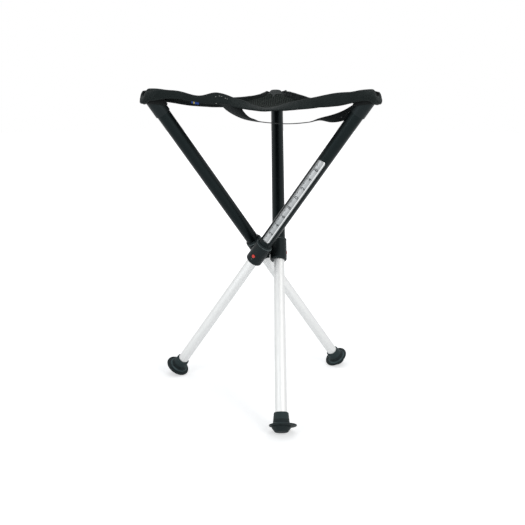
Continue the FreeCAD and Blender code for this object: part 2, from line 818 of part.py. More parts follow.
hub_spider()
pivot_screws()
thrust_washers()
for leg in LEGS:
    outer_tube(leg)
    collar(leg)
    top_cap(leg)
    inner_tube(leg)
    guide_bush(leg)
    latch_spring(leg)
    release_button(leg)
    foot(leg)
    seat_pocket(leg)
tube_label()
front_hem = Hem("b", "a", FRONT_HEM)
hems = [front_hem, Hem("a", "c", SIDE_HEM), Hem("c", "b", SIDE_HEM)]
names = ["seat_hem_front", "seat_hem_right", "seat_hem_left"]
bands = [seat_hem(name, hem) for name, hem in zip(names, hems)]
seat_panel(hems, bands)
node("carrying_strap", shaped("CarryingStrap", Strap(front_hem).solid()))
sewn_tag(front_hem)

doc.recompute()
for item in doc.Objects:
    if "Invalid" in item.State or "Error" in item.State:
        raise ValueError(f"{item.Label} failed: {item.State}")
for name, item in nodes.items():
    if item.Shape.isNull() or not item.Shape.isValid():
        raise ValueError(f"{name} has no valid shape")

os.makedirs("parts", exist_ok=True)
for name, item in nodes.items():
    item.Shape.exportStep(f"parts/{name}.step")
print(len(nodes), "sub-parts, hub at", round(hub_height, 2))
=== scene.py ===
import math

import bmesh
import bpy
from mathutils import Matrix, Vector, noise


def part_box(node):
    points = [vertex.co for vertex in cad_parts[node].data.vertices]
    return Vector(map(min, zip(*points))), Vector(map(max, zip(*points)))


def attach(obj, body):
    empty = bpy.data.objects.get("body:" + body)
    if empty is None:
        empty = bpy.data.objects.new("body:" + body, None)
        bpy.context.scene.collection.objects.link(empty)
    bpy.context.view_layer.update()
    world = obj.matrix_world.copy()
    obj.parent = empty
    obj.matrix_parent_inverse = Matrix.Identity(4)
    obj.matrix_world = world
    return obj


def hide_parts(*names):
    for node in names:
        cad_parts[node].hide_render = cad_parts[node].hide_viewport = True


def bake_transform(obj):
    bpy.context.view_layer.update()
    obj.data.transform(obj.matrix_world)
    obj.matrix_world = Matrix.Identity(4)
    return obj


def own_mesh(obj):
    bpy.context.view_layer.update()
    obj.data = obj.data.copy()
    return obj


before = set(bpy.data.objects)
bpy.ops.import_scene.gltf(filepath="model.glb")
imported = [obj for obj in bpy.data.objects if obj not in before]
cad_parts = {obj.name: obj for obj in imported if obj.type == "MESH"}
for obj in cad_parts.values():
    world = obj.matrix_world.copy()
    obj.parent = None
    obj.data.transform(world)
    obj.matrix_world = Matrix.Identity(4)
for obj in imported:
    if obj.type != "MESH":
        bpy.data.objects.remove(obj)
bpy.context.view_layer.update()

scene = bpy.context.scene


# Camera. It stands a little over a metre in front of the stool, at seat height, and looks
# down at the hub with a slightly long lens.
camera_data = bpy.data.cameras.new("camera")
camera_data.sensor_width = 36.0
camera_data.lens = 47.23
camera_data.shift_y = -0.0166
camera = bpy.data.objects.new("camera", camera_data)
scene.collection.objects.link(camera)
camera.location = (-0.01216, -1.21991, 0.54599)
camera.rotation_euler = (math.radians(90.0 - 13.19), 0.0, -0.0056)
scene.camera = camera


# Studio. A pale floor runs into a white surround. Two large soft lamps light the stool from
# both sides of the camera and a third one hangs above it.
scene.view_settings.view_transform = "Standard"
world = bpy.data.worlds.new("studio")
scene.world = world
world.use_nodes = True
world_nodes = world.node_tree.nodes
world_links = world.node_tree.links
world_nodes.clear()
world_out = world_nodes.new("ShaderNodeOutputWorld")
world_seen = world_nodes.new("ShaderNodeBackground")
world_seen.inputs["Color"].default_value = (1.0, 1.0, 1.0, 1.0)
world_seen.inputs["Strength"].default_value = 1.0
world_light = world_nodes.new("ShaderNodeBackground")
world_light.inputs["Color"].default_value = (0.92, 0.96, 1.0, 1.0)
world_light.inputs["Strength"].default_value = 0.38
world_path = world_nodes.new("ShaderNodeLightPath")
world_any = world_nodes.new("ShaderNodeMath")
world_any.operation = "MAXIMUM"
world_any.use_clamp = True
world_glass = world_nodes.new("ShaderNodeMath")
world_glass.operation = "MAXIMUM"
world_mix = world_nodes.new("ShaderNodeMixShader")
world_links.new(world_path.outputs["Is Glossy Ray"], world_glass.inputs[0])
world_links.new(world_path.outputs["Is Transmission Ray"], world_glass.inputs[1])
world_links.new(world_path.outputs["Is Camera Ray"], world_any.inputs[0])
world_links.new(world_glass.outputs[0], world_any.inputs[1])
world_links.new(world_any.outputs[0], world_mix.inputs[0])
world_links.new(world_light.outputs[0], world_mix.inputs[1])
world_links.new(world_seen.outputs[0], world_mix.inputs[2])
world_links.new(world_mix.outputs[0], world_out.inputs["Surface"])

floor_material = bpy.data.materials.new("studio_floor")
floor_material.use_nodes = True
floor_nodes = floor_material.node_tree.nodes
floor_links = floor_material.node_tree.links
floor_shader = floor_nodes["Principled BSDF"]
floor_shader.inputs["Base Color"].default_value = (0.80, 0.80, 0.80, 1.0)
floor_shader.inputs["Roughness"].default_value = 1.0
floor_shader.inputs["Specular IOR Level"].default_value = 0.0
floor_glow = floor_nodes.new("ShaderNodeEmission")
floor_where = floor_nodes.new("ShaderNodeTexCoord")
floor_away = floor_nodes.new("ShaderNodeVectorMath")
floor_away.operation = "LENGTH"
floor_fade = floor_nodes.new("ShaderNodeMapRange")
floor_fade.inputs["From Min"].default_value = 0.35
floor_fade.inputs["From Max"].default_value = 1.60
floor_fade.inputs["To Min"].default_value = 0.52
floor_fade.inputs["To Max"].default_value = 1.0
floor_links.new(floor_where.outputs["Object"], floor_away.inputs[0])
floor_links.new(floor_away.outputs["Value"], floor_fade.inputs["Value"])
floor_links.new(floor_fade.outputs["Result"], floor_glow.inputs["Strength"])
floor_dark = floor_nodes.new("ShaderNodeEmission")
floor_dark.inputs["Strength"].default_value = 0.0
floor_path = floor_nodes.new("ShaderNodeLightPath")
floor_any = floor_nodes.new("ShaderNodeMath")
floor_any.operation = "MAXIMUM"
floor_pick = floor_nodes.new("ShaderNodeMixShader")
floor_sum = floor_nodes.new("ShaderNodeAddShader")
floor_links.new(floor_path.outputs["Is Camera Ray"], floor_any.inputs[0])
floor_links.new(floor_path.outputs["Is Glossy Ray"], floor_any.inputs[1])
floor_links.new(floor_any.outputs[0], floor_pick.inputs[0])
floor_links.new(floor_dark.outputs[0], floor_pick.inputs[1])
floor_links.new(floor_glow.outputs[0], floor_pick.inputs[2])
floor_links.new(floor_shader.outputs[0], floor_sum.inputs[0])
floor_links.new(floor_pick.outputs[0], floor_sum.inputs[1])
floor_links.new(floor_sum.outputs[0], floor_nodes["Material Output"].inputs["Surface"])

floor_mesh = bmesh.new()
bmesh.ops.create_circle(floor_mesh, cap_ends=True, segments=96, radius=9.0)
floor_data = bpy.data.meshes.new("studio_floor")
floor_mesh.to_mesh(floor_data)
floor_mesh.free()
floor_data.materials.append(floor_material)
floor = bpy.data.objects.new("studio_floor", floor_data)
floor.location.z = -0.0006
scene.collection.objects.link(floor)


def softbox(name, place, aim, width, height, power, colour):
    lamp_data = bpy.data.lights.new(name, "AREA")
    lamp_data.shape = "RECTANGLE"
    lamp_data.size = width
    lamp_data.size_y = height
    lamp_data.energy = power
    lamp_data.color = colour
    lamp = bpy.data.objects.new(name, lamp_data)
    lamp.location = place
    heading = Vector(aim) - Vector(place)
    lamp.rotation_euler = heading.to_track_quat("-Z", "Y").to_euler()
    scene.collection.objects.link(lamp)


softbox("lamp_right", (1.5, -1.7, 1.35), (0.0, 0.0, 0.28), 0.7, 1.5, 17.0, (1.0, 0.985, 0.96))
softbox("lamp_left", (-1.7, -1.4, 1.0), (0.0, 0.0, 0.30), 0.6, 1.4, 10.0, (0.95, 0.98, 1.0))
softbox("lamp_above", (0.1, 0.3, 2.2), (0.0, 0.0, 0.3), 1.6, 1.6, 12.0, (1.0, 1.0, 1.0))


# Upper tubes. Each is a drawn aluminium tube with a satin black coat. It keeps its shape from
# the frame, and its coat has a fine grain, slow mottling and worn spots.
leg_turns = {"a": 240.0, "b": 120.0, "c": 0.0}
leg_lean = 36.3
hub_height = 0.26676
hub_radius = 0.0245


def leg_place(letter):
    """A leg's own frame: its origin at the hinge, x away from the hub and z up the leg."""
    turn = Matrix.Rotation(math.radians(leg_turns[letter]), 4, "Z")
    lean = Matrix.Rotation(math.radians(-leg_lean), 4, "X")
    return turn @ Matrix.Translation((hub_radius, 0.0, hub_height)) @ lean


def leg_pattern(tree, letter):
    """Object coordinates turned so that z runs along the leg."""
    where = tree.nodes.new("ShaderNodeTexCoord")
    turned = tree.nodes.new("ShaderNodeMapping")
    turned.vector_type = "TEXTURE"
    place = leg_place(letter)
    turned.inputs["Location"].default_value = place.translation
    turned.inputs["Rotation"].default_value = place.to_euler()
    tree.links.new(where.outputs["Object"], turned.inputs["Vector"])
    return turned.outputs["Vector"]


def group_with(name, inputs, outputs):
    """An empty node group with named sockets."""
    tree = bpy.data.node_groups.new(name, "ShaderNodeTree")
    for label, kind, value in inputs:
        socket = tree.interface.new_socket(label, in_out="INPUT", socket_type=kind)
        if value is not None:
            socket.default_value = value
    for label, kind in outputs:
        tree.interface.new_socket(label, in_out="OUTPUT", socket_type=kind)
    return tree, tree.nodes.new("NodeGroupInput"), tree.nodes.new("NodeGroupOutput")


def noise_node(tree, vector, scale, detail=3.0, rough=0.5):
    made = tree.nodes.new("ShaderNodeTexNoise")
    made.inputs["Scale"].default_value = scale
    made.inputs["Detail"].default_value = detail
    made.inputs["Roughness"].default_value = rough
    if vector is not None:
        tree.links.new(vector, made.inputs["Vector"])
    return made


def stretch(tree, vector, low, high, to_low, to_high):
    """A value mapped from one range to another and held inside it."""
    made = tree.nodes.new("ShaderNodeMapRange")
    made.inputs["From Min"].default_value = low
    made.inputs["From Max"].default_value = high
    made.inputs["To Min"].default_value = to_low
    made.inputs["To Max"].default_value = to_high
    tree.links.new(vector, made.inputs["Value"])
    return made.outputs["Result"]


def blended(tree, factor, first, second):
    """Two colours mixed by a mask. Each is a socket or a colour."""
    made = tree.nodes.new("ShaderNodeMix")
    made.data_type = "RGBA"
    tree.links.new(factor, made.inputs["Factor"])
    for value, socket in ((first, made.inputs[6]), (second, made.inputs[7])):
        if isinstance(value, tuple):
            socket.default_value = value
        else:
            tree.links.new(value, socket)
    return made.outputs[2]


def raised(tree, height, strength, distance):
    made = tree.nodes.new("ShaderNodeBump")
    made.inputs["Strength"].default_value = strength
    made.inputs["Distance"].default_value = distance
    tree.links.new(height, made.inputs["Height"])
    return made.outputs["Normal"]


# The grain of a moulded or coated surface: fine pimples, slow mottling and small scuffs.
grain, grain_in, grain_out = group_with(
    "surface_grain",
    [("Vector", "NodeSocketVector", None), ("Scale", "NodeSocketFloat", 900.0),
     ("Scuff Amount", "NodeSocketFloat", 0.5)],
    [("Height", "NodeSocketFloat"), ("Mottle", "NodeSocketFloat"), ("Scuffs", "NodeSocketFloat")],
)
grain_fine = noise_node(grain, grain_in.outputs["Vector"], 900.0, 2.0, 0.6)
grain.links.new(grain_in.outputs["Scale"], grain_fine.inputs["Scale"])
grain_slow = noise_node(grain, grain_in.outputs["Vector"], 38.0, 4.0, 0.55)
grain_spots = noise_node(grain, grain_in.outputs["Vector"], 210.0, 6.0, 0.7)
grain_few = stretch(grain, grain_spots.outputs["Fac"], 0.66, 0.78, 0.0, 1.0)
grain_some = grain.nodes.new("ShaderNodeMath")
grain_some.operation = "MULTIPLY"
grain.links.new(grain_few, grain_some.inputs[0])
grain.links.new(grain_in.outputs["Scuff Amount"], grain_some.inputs[1])
grain.links.new(grain_fine.outputs["Fac"], grain_out.inputs["Height"])
grain.links.new(grain_slow.outputs["Fac"], grain_out.inputs["Mottle"])
grain.links.new(grain_some.outputs[0], grain_out.inputs["Scuffs"])


def grained(name, vector_of, base, light, scale, scuff, rough, bump, metallic=0.0, level=0.5,
            tint=(1.0, 1.0, 1.0, 1.0)):
    """A moulded or coated finish made of the grain group."""
    made = bpy.data.materials.new(name)
    made.use_nodes = True
    tree = made.node_tree
    shader = tree.nodes["Principled BSDF"]
    shader.inputs["Metallic"].default_value = metallic
    shader.inputs["Specular IOR Level"].default_value = level
    shader.inputs["Specular Tint"].default_value = tint
    texture = tree.nodes.new("ShaderNodeGroup")
    texture.node_tree = grain
    texture.inputs["Scale"].default_value = scale
    texture.inputs["Scuff Amount"].default_value = scuff
    tree.links.new(vector_of(tree), texture.inputs["Vector"])
    mottle = stretch(tree, texture.outputs["Mottle"], 0.30, 0.70, 0.0, 1.0)
    body = blended(tree, mottle, base, light)
    worn = tuple(min(1.0, c * 3.0 + 0.02) for c in light[:3]) + (1.0,)
    tree.links.new(blended(tree, texture.outputs["Scuffs"], body, worn), shader.inputs["Base Color"])
    tree.links.new(stretch(tree, texture.outputs["Mottle"], 0.2, 0.8, rough[0], rough[1]),
                   shader.inputs["Roughness"])
    tree.links.new(raised(tree, texture.outputs["Height"], 1.0, bump), shader.inputs["Normal"])
    return made


def plain_pattern(tree):
    return tree.nodes.new("ShaderNodeTexCoord").outputs["Object"]


def finish_node(name, finish):
    """Give a node of the frame its finish."""
    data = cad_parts[name].data
    data.materials.clear()
    data.materials.append(finish)


for letter in leg_turns:
    coat = grained(f"satin_black_coat_{letter}", lambda tree: leg_pattern(tree, letter),
                   (0.0026, 0.0040, 0.0044, 1.0), (0.0042, 0.0062, 0.0066, 1.0),
                   1500.0, 0.10, (0.30, 0.40), 0.00002, 0.0, 0.16, (0.72, 0.96, 1.0, 1.0))
    finish_node(f"outer_tube_{letter}", coat)


# Label. A satin silver foil is stuck along leg A's upper tube, over the collar. It carries a
# plain scale of ticks and numbers, and a bright band near one edge that is a painted highlight.
label_low, label_high = 0.0310, 0.2120
label_left, label_right = math.radians(-29.0), math.radians(42.0)
label_radius = 0.01185


def on_tube(letter, angle, height, radius):
    return leg_place(letter) @ Vector((radius * math.cos(angle), radius * math.sin(angle), height))


def new_piece(name, mesh, *finishes):
    data = bpy.data.meshes.new(name)
    mesh.to_mesh(data)
    mesh.free()
    for finish in finishes:
        data.materials.append(finish)
    data.shade_smooth()
    piece = bpy.data.objects.new(name, data)
    scene.collection.objects.link(piece)
    return piece


def number(tree, kind, first, second=None):
    """One step of arithmetic in a material. Each side is a socket or a number."""
    made = tree.nodes.new("ShaderNodeMath")
    made.operation = kind
    for value, socket in ((first, made.inputs[0]), (second, made.inputs[1])):
        if isinstance(value, float):
            socket.default_value = value
        elif value is not None:
            tree.links.new(value, socket)
    return made.outputs[0]


silver_foil = bpy.data.materials.new("silver_foil")
silver_foil.use_nodes = True
tree = silver_foil.node_tree
shader = tree.nodes["Principled BSDF"]
label_split = tree.nodes.new("ShaderNodeSeparateXYZ")
tree.links.new(tree.nodes.new("ShaderNodeUVMap").outputs["UV"], label_split.inputs[0])
label_up = number(tree, "MULTIPLY", label_split.outputs["Y"], 181.0)
tick_start = number(tree, "GREATER_THAN", label_split.outputs["X"], 0.07)


def ticks(spacing, thick, reach):
    """Printed lines across the label, that many millimetres apart and thick."""
    phase = number(tree, "FRACT", number(tree, "MULTIPLY", label_up, 1.0 / spacing))
    lines = number(tree, "LESS_THAN", phase, thick / spacing)
    return number(tree, "MULTIPLY", lines, number(tree, "LESS_THAN", label_split.outputs["X"], reach))


label_ticks = number(tree, "MAXIMUM", ticks(2.5, 0.8, 0.22), ticks(10.0, 1.1, 0.34))
label_print = number(tree, "MULTIPLY", label_ticks, tick_start)
# A band near the foil's right edge is painted bright, a painted highlight.
label_highlight_band = number(tree, "MULTIPLY", number(tree, "GREATER_THAN", label_split.outputs["X"], 0.80),
                      number(tree, "LESS_THAN", label_split.outputs["X"], 0.90))
foil_brush = tree.nodes.new("ShaderNodeMapping")
foil_brush.inputs["Scale"].default_value = (1.0, 1.0, 0.02)
tree.links.new(leg_pattern(tree, "a"), foil_brush.inputs["Vector"])
foil_lines = noise_node(tree, foil_brush.outputs["Vector"], 3000.0, 3.0, 0.6)
foil_cloud = noise_node(tree, leg_pattern(tree, "a"), 60.0, 3.0, 0.6)
foil_satin = blended(tree, stretch(tree, foil_cloud.outputs["Fac"], 0.3, 0.7, 0.0, 1.0),
                     (0.28, 0.295, 0.30, 1.0), (0.40, 0.41, 0.415, 1.0))
foil_tone = blended(tree, label_highlight_band, foil_satin, (0.74, 0.75, 0.75, 1.0))
foil_print = tree.nodes.new("ShaderNodeMix")
foil_print.data_type = "RGBA"
foil_print.inputs[7].default_value = (0.05, 0.055, 0.06, 1.0)
tree.links.new(label_print, foil_print.inputs["Factor"])
tree.links.new(foil_tone, foil_print.inputs[6])
tree.links.new(foil_print.outputs[2], shader.inputs["Base Color"])
tree.links.new(number(tree, "SUBTRACT", 1.0, label_print), shader.inputs["Metallic"])
tree.links.new(stretch(tree, foil_lines.outputs["Fac"], 0.3, 0.7, 0.30, 0.40), shader.inputs["Roughness"])
tree.links.new(raised(tree, foil_lines.outputs["Fac"], 0.5, 0.00002), shader.inputs["Normal"])

label_mesh = bmesh.new()
label_mesh.loops.layers.uv.new("UVMap")
bmesh.ops.create_grid(label_mesh, x_segments=16, y_segments=60, size=1.0, calc_uvs=True)
for vertex in label_mesh.verts:
    across, along = (vertex.co.x + 1.0) / 2.0, (vertex.co.y + 1.0) / 2.0
    # The corners are rounded to 2 mm.
    inset = 0.0018 - min(0.0018, along * 0.181, (1.0 - along) * 0.181)
    pull = (0.0018 - math.sqrt(max(0.0, 0.0018 ** 2 - inset ** 2))) / 0.0145
    across = 0.5 + (across - 0.5) * (1.0 - 2.0 * pull)
    angle = label_left + (label_right - label_left) * across
    vertex.co = on_tube("a", angle, label_low + (label_high - label_low) * along, label_radius)
label = new_piece("label_strip", label_mesh, silver_foil)
foil_wall = label.modifiers.new("thickness", "SOLIDIFY")
foil_wall.thickness = 0.0002
foil_wall.offset = 0.0
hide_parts("tube_label")
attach(label, "leg_a")

label_ink = grained("label_ink", plain_pattern, (0.040, 0.045, 0.050, 1.0), (0.055, 0.060, 0.066, 1.0),
                    900.0, 0.3, (0.5, 0.6), 0.00001)
label_digits = bmesh.new()
for tick, figure in enumerate(("2", "4", "6", "8", "10", "12", "14", "16")):
    curve = bpy.data.curves.new("figure", "FONT")
    curve.body = figure
    curve.size = 0.0098
    curve.offset = 0.00016
    curve.align_x = "CENTER"
    curve.align_y = "CENTER"
    text = bpy.data.objects.new("figure", curve)
    scene.collection.objects.link(text)
    flat = bpy.data.meshes.new_from_object(text.evaluated_get(bpy.context.evaluated_depsgraph_get()))
    bpy.data.objects.remove(text)
    written = bmesh.new()
    written.from_mesh(flat)
    bmesh.ops.triangulate(written, faces=written.faces)
    # The figures read along the tube, and lie on the foil.
    for vertex in written.verts:
        turn = label_left + (label_right - label_left) * 0.54 - vertex.co.y / label_radius
        vertex.co = on_tube("a", turn, label_low + 0.020 * (tick + 1) + vertex.co.x, label_radius + 0.00018)
    written.to_mesh(flat)
    written.free()
    label_digits.from_mesh(flat)
figures = new_piece("label_figures", label_digits, label_ink)
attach(figures, "leg_a")


# Lower tubes. Each is a pale anodised aluminium tube, brushed along its length, with a nylon
# guide bush pressed on its top and a sprung latch inside.
for letter in leg_turns:
    silver = bpy.data.materials.new(f"pale_anodised_{letter}")
    silver.use_nodes = True
    tree = silver.node_tree
    shader = tree.nodes["Principled BSDF"]
    shader.inputs["Metallic"].default_value = 1.0
    drawn = tree.nodes.new("ShaderNodeMapping")
    drawn.inputs["Scale"].default_value = (1.0, 1.0, 0.012)
    tree.links.new(leg_pattern(tree, letter), drawn.inputs["Vector"])
    lines = noise_node(tree, drawn.outputs["Vector"], 2600.0, 3.0, 0.6)
    cloudy = noise_node(tree, leg_pattern(tree, letter), 45.0, 3.0, 0.5)
    tone = blended(tree, stretch(tree, lines.outputs["Fac"], 0.3, 0.7, 0.0, 1.0),
                   (0.66, 0.67, 0.67, 1.0), (0.76, 0.765, 0.76, 1.0))
    tree.links.new(tone, shader.inputs["Base Color"])
    tree.links.new(stretch(tree, cloudy.outputs["Fac"], 0.3, 0.7, 0.54, 0.62),
                   shader.inputs["Roughness"])
    tree.links.new(raised(tree, lines.outputs["Fac"], 0.6, 0.00002), shader.inputs["Normal"])
    finish_node(f"inner_tube_{letter}", silver)

white_nylon = grained("white_nylon", plain_pattern, (0.62, 0.61, 0.57, 1.0), (0.70, 0.69, 0.66, 1.0),
                      800.0, 0.0, (0.42, 0.55), 0.00002)
spring_steel = grained("spring_steel", plain_pattern, (0.36, 0.36, 0.37, 1.0),
                       (0.46, 0.46, 0.47, 1.0), 1200.0, 0.2, (0.28, 0.42), 0.00001, 1.0)
for letter in leg_turns:
    finish_node(f"guide_bush_{letter}", white_nylon)
    finish_node(f"latch_spring_{letter}", spring_steel)
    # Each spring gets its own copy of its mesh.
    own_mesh(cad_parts[f"latch_spring_{letter}"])


# Hub. A three-sided nylon spider carries one zinc-plated pivot screw and one thin washer for
# each collar.
spider_nylon = grained("black_glass_nylon", plain_pattern, (0.0048, 0.0066, 0.0070, 1.0),
                       (0.0080, 0.0105, 0.0110, 1.0), 1100.0, 0.20, (0.40, 0.52), 0.00004, 0.0, 0.20,
                       (0.78, 0.96, 1.0, 1.0))
zinc_plate = grained("zinc_plate", plain_pattern, (0.52, 0.53, 0.55, 1.0), (0.62, 0.63, 0.65, 1.0),
                     900.0, 0.2, (0.24, 0.36), 0.00001, 1.0)
finish_node("hub_spider", spider_nylon)
finish_node("pivot_screws", zinc_plate)
finish_node("thrust_washers", white_nylon)


# Collars and caps. Glass-filled nylon, moulded with a fine spark grain. A paler line is painted
# along the bevel of each collar's rim, as a painted highlight.
def leg_split(tree, letter):
    split = tree.nodes.new("ShaderNodeSeparateXYZ")
    tree.links.new(leg_pattern(tree, letter), split.inputs[0])
    return split


def band(tree, value, low, high, soft):
    """One inside a range, fading to nothing over a soft edge."""
    rising = stretch(tree, value, low - soft, low, 0.0, 1.0)
    falling = stretch(tree, value, high, high + soft, 1.0, 0.0)
    return number(tree, "MULTIPLY", rising, falling)


def add_painted_highlight(finish, mask, pale):
    """Paler colour where a mask says, laid over a finish's own colour: a painted highlight."""
    tree = finish.node_tree
    shader = tree.nodes["Principled BSDF"]
    under = shader.inputs["Base Color"].links[0].from_socket
    tree.links.new(blended(tree, mask, under, pale), shader.inputs["Base Color"])


for letter in leg_turns:
    collar_nylon = spider_nylon.copy()
    collar_nylon.name = f"collar_nylon_{letter}"
    tree = collar_nylon.node_tree
    along = leg_split(tree, letter).outputs["Z"]
    patchy = noise_node(tree, plain_pattern(tree), 160.0, 3.0, 0.6)
    highlight_patches = stretch(tree, patchy.outputs["Fac"], 0.35, 0.65, 0.35, 1.0)
    # The rim's bevel is painted paler in patches, a painted highlight.
    rim = number(tree, "MULTIPLY", band(tree, along, 0.0187, 0.0196, 0.0005), highlight_patches)
    add_painted_highlight(collar_nylon, rim, (0.150, 0.180, 0.180, 1.0))
    finish_node(f"collar_{letter}", collar_nylon)
    finish_node(f"top_cap_{letter}", spider_nylon)


# Release buttons. Red acetal, smooth with a slight gloss.
red_acetal = grained("red_acetal", plain_pattern, (0.70, 0.030, 0.018, 1.0),
                     (0.80, 0.045, 0.026, 1.0), 700.0, 0.1, (0.26, 0.36), 0.00001)
for letter in leg_turns:
    finish_node(f"release_button_{letter}", red_acetal)


# Feet. Moulded black rubber, matt, with a dusty sole.
black_rubber = grained("black_rubber", plain_pattern, (0.0100, 0.0142, 0.0150, 1.0),
                       (0.0165, 0.0222, 0.0232, 1.0), 700.0, 0.30, (0.56, 0.72), 0.00006, 0.0, 0.22,
                       (0.78, 0.96, 1.0, 1.0))
for letter in leg_turns:
    foot_rubber = black_rubber.copy()
    foot_rubber.name = f"foot_rubber_{letter}"
    tree = foot_rubber.node_tree
    split = leg_split(tree, letter)
    reach = number(tree, "SQRT", number(tree, "ADD", number(tree, "POWER", split.outputs["X"], 2.0),
                                        number(tree, "POWER", split.outputs["Y"], 2.0)))
    patchy = noise_node(tree, plain_pattern(tree), 120.0, 3.0, 0.6)
    highlight_patches = stretch(tree, patchy.outputs["Fac"], 0.30, 0.65, 0.45, 1.0)
    # The ridge on the flange is painted paler in patches, a painted highlight.
    ridge = number(tree, "MULTIPLY", band(tree, reach, 0.0158, 0.0174, 0.0012), highlight_patches)
    flange = band(tree, split.outputs["Z"], -0.3125, -0.3095, 0.0006)
    add_painted_highlight(foot_rubber, number(tree, "MULTIPLY", ridge, flange), (0.065, 0.095, 0.100, 1.0))
    # The upper part of the neck is painted lighter, as painted light.
    neck = band(tree, split.outputs["Z"], -0.3030, -0.2915, 0.0015)
    add_painted_highlight(foot_rubber, number(tree, "MULTIPLY", neck, 0.6), (0.034, 0.050, 0.052, 1.0))
    finish_node(f"foot_{letter}", foot_rubber)


# Seat rim. A folded nylon hem runs round the triangle. It is one closed band, cut here at the
# middle of each side into one piece for each corner. It bends round the corners, and the front
# one rolls in at its middle, where the carrying strap pulls on it.
corner_top = 0.547
tips = {letter: leg_place(letter) @ Vector((0.0, 0.0, 0.340)) for letter in leg_turns}

# Share of the way along a side, drop of the lower edge below the corners, width and degrees of
# roll.
front_hem = [
    (0.00, 0.0110, 0.0140, 0.0),
    (0.12, 0.0112, 0.0132, 0.0),
    (0.22, 0.0180, 0.0120, 4.0),
    (0.30, 0.0200, 0.0192, 6.0),
    (0.38, 0.0250, 0.0190, 34.0),
    (0.45, 0.0285, 0.0190, 56.0),
    (0.52, 0.0303, 0.0190, 80.0),
    (0.60, 0.0298, 0.0190, 60.0),
    (0.74, 0.0260, 0.0190, 28.0),
    (0.86, 0.0200, 0.0190, 6.0),
    (1.00, 0.0140, 0.0140, 0.0),
]
right_hem = [
    (0.00, 0.0140, 0.0140, 0.0),
    (0.11, 0.0170, 0.0170, 2.0),
    (0.25, 0.0235, 0.0170, 8.0),
    (0.50, 0.0275, 0.0180, 14.0),
    (0.60, 0.0237, 0.0175, 12.0),
    (0.70, 0.0192, 0.0170, 9.0),
    (0.80, 0.0156, 0.0165, 5.0),
    (0.90, 0.0138, 0.0155, 2.0),
    (1.00, 0.0110, 0.0140, 0.0),
]
left_hem = [
    (0.00, 0.0140, 0.0140, 0.0),
    (0.11, 0.0170, 0.0170, 2.0),
    (0.25, 0.0235, 0.0170, 8.0),
    (0.50, 0.0275, 0.0180, 14.0),
    (0.75, 0.0235, 0.0170, 8.0),
    (0.89, 0.0170, 0.0170, 2.0),
    (1.00, 0.0110, 0.0140, 0.0),
]
seat_sides = {"front": ("b", "a", front_hem), "right": ("a", "c", right_hem), "left": ("c", "b", left_hem)}
hem_bow = 0.009
corner_radius = 0.0158
corner_reach = 0.060
hem_cloth = 0.0026
hood_radius = 0.0160
hood_height = 0.3352
hood_width = 0.0112
hood_reach = 0.034
hood_share = 0.72


def smooth(share):
    share = min(1.0, max(0.0, share))
    return share * share * (3.0 - 2.0 * share)


def between(rows, share, column):
    """A column of a hem's table at any share, on a smooth curve through its rows."""
    at = max(row for row in range(len(rows) - 1) if rows[row][0] <= share)
    low, high = rows[at], rows[at + 1]
    gap = high[0] - low[0]
    part = (share - low[0]) / gap

    def slope(row):
        before, after = rows[max(row - 1, 0)], rows[min(row + 1, len(rows) - 1)]
        return (after[column] - before[column]) / (after[0] - before[0])

    bends = slope(at) * part * (1 - part) ** 2 - slope(at + 1) * part * part * (1 - part)
    return low[column] + (high[column] - low[column]) * smooth(part) + gap * bends


def hooded(letter, spot, outward, width, back, share):
    """A station turned from upright towards a hood that stands square to the leg."""
    place = leg_place(letter)
    axis = place.to_3x3() @ Vector((0.0, 0.0, 1.0))
    square = (outward - axis * outward.dot(axis)).normalized()
    hood = place @ Vector((0.0, 0.0, hood_height)) + square * hood_radius + back
    upward = Vector((0.0, 0.0, 1.0)).lerp(axis, share).normalized()
    fuller = width + (hood_width - width) * share + 0.014 * share * (1.0 - share)
    return spot.lerp(hood, share), upward, outward, fuller


def side_station(side, share):
    """The hem at a share of a side: lower edge, way up, way out and width."""
    first, last, rows = seat_sides[side]
    start, end = tips[first], tips[last]
    heading = (end - start).normalized()
    inward = Vector((0.0, 0.0, 1.0)).cross(heading)
    near = min(share, 1.0 - share) * (end - start).length
    wrap = corner_radius * (1.0 - smooth(near / corner_reach))
    spot = start.lerp(end, share) + inward * (hem_bow * 4.0 * share * (1.0 - share) - wrap)
    spot.z = corner_top - between(rows, share, 1)
    roll = math.radians(between(rows, share, 3))
    upward = Vector((0.0, 0.0, math.cos(roll))) + inward * math.sin(roll)
    width = between(rows, share, 2)
    if near < hood_reach:
        corner = first if share < 0.5 else last
        back = heading * (near if share < 0.5 else -near)
        return hooded(corner, spot, -inward, width, back,
                      hood_share * (1.0 - smooth(near / hood_reach)))
    return spot, upward, -inward, width


def corner_station(letter, turn):
    """The hem on its way round a corner, from the side before it to the side after it."""
    before = [side for side in seat_sides if seat_sides[side][1] == letter][0]
    after = [side for side in seat_sides if seat_sides[side][0] == letter][0]
    outward = side_station(before, 1.0)[2].slerp(side_station(after, 0.0)[2], turn)
    middle = Vector((tips[letter].x, tips[letter].y, 0.0))
    spot = middle + outward * corner_radius
    spot.z = (corner_top - between(seat_sides[before][2], 1.0, 1)) * (1.0 - turn)
    spot.z += (corner_top - between(seat_sides[after][2], 0.0, 1)) * turn
    share = hood_share + (1.0 - hood_share) * smooth(min(turn, 1.0 - turn) * 2.6)
    return hooded(letter, spot, outward, 0.0140, Vector(), share)


def rim_station(letter, way):
    """The hem of one corner, from the middle of a side to the middle of the next one."""
    before = [side for side in seat_sides if seat_sides[side][1] == letter][0]
    after = [side for side in seat_sides if seat_sides[side][0] == letter][0]
    first, last = 0.46, 0.54
    if way < first:
        return side_station(before, 0.5 + 0.5 * way / first)
    if way > last:
        return side_station(after, 0.5 * (way - last) / (1.0 - last))
    return corner_station(letter, (way - first) / (last - first))


